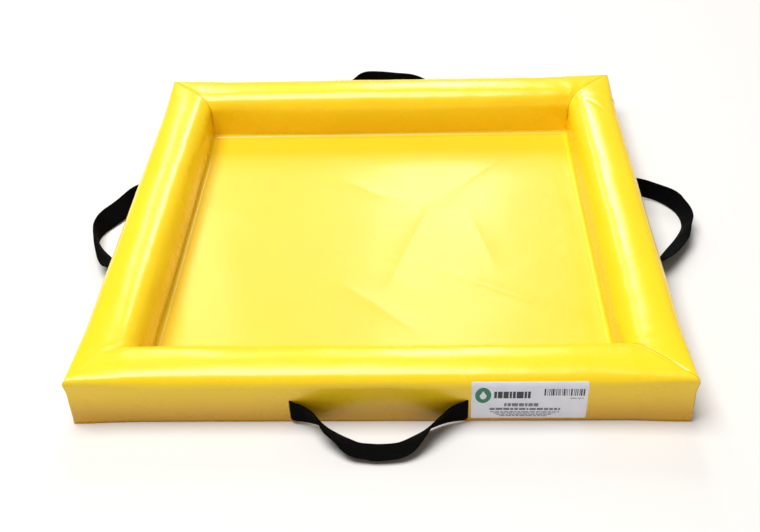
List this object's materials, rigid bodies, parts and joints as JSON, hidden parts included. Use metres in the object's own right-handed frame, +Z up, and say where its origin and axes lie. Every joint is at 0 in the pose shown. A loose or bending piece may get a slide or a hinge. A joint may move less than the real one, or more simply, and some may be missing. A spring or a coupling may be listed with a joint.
{
  "type": "flexible spill containment tray",
  "caption": "Low square spill tray in glossy yellow vinyl with soft foam-filled walls, a flat welded floor, black webbing handles on its sides and a label on the front.",
  "frame": {"origin": "middle of the tray's underside, on the surface that it stands on", "axes": "+Z up, -Y towards the front wall, which carries the label, +X to the right seen from the front"},
  "size_m": [0.7236, 0.7153, 0.0615],
  "materials": {
    "vinyl": "gloss",
    "vinyl_bead": "gloss",
    "vinyl_tape": "satin",
    "foam": "matte",
    "webbing": "matte",
    "thread": "matte",
    "label_film": "satin"
  },
  "bodies": {
    "tray": {"base_sheet": "vinyl", "floor_sheet": "vinyl", "label": "label_film", "wall_cover_front": "vinyl", "foam_bar_front": "foam", "foot_bead_front": "vinyl_bead", "handle_anchor_front": "webbing", "bar_tacks_front": "thread", "corner_tape_front_right": "vinyl_tape", "wall_cover_right": "vinyl", "foam_bar_right": "foam", "foot_bead_right": "vinyl_bead", "handle_anchor_right": "webbing", "bar_tacks_right": "thread", "corner_tape_rear_right": "vinyl_tape", "wall_cover_rear": "vinyl", "foam_bar_rear": "foam", "foot_bead_rear": "vinyl_bead", "handle_anchor_rear": "webbing", "bar_tacks_rear": "thread", "corner_tape_rear_left": "vinyl_tape", "wall_cover_left": "vinyl", "foam_bar_left": "foam", "foot_bead_left": "vinyl_bead", "handle_anchor_left": "webbing", "bar_tacks_left": "thread", "corner_tape_front_left": "vinyl_tape"},
    "handle_front": {"handle_loop_front": "webbing"},
    "handle_right": {"handle_loop_right": "webbing"},
    "handle_rear": {"handle_loop_rear": "webbing"},
    "handle_left": {"handle_loop_left": "webbing"}
  },
  "joints": [
    {"name": "handle_front_lift", "type": "hinge", "parent": "tray", "child": "handle_front", "pos_m": [0, -0.3058, 0.032], "axis": [-1, 0, 0], "range_deg": [0, 105]},
    {"name": "handle_right_lift", "type": "hinge", "parent": "tray", "child": "handle_right", "pos_m": [0.3058, 0, 0.032], "axis": [0, -1, 0], "range_deg": [0, 95]},
    {"name": "handle_rear_lift", "type": "hinge", "parent": "tray", "child": "handle_rear", "pos_m": [0, 0.3058, 0.032], "axis": [1, 0, 0], "range_deg": [0, 70]},
    {"name": "handle_left_lift", "type": "hinge", "parent": "tray", "child": "handle_left", "pos_m": [-0.3058, 0, 0.032], "axis": [0, 1, 0], "range_deg": [0, 100]}
  ]
}
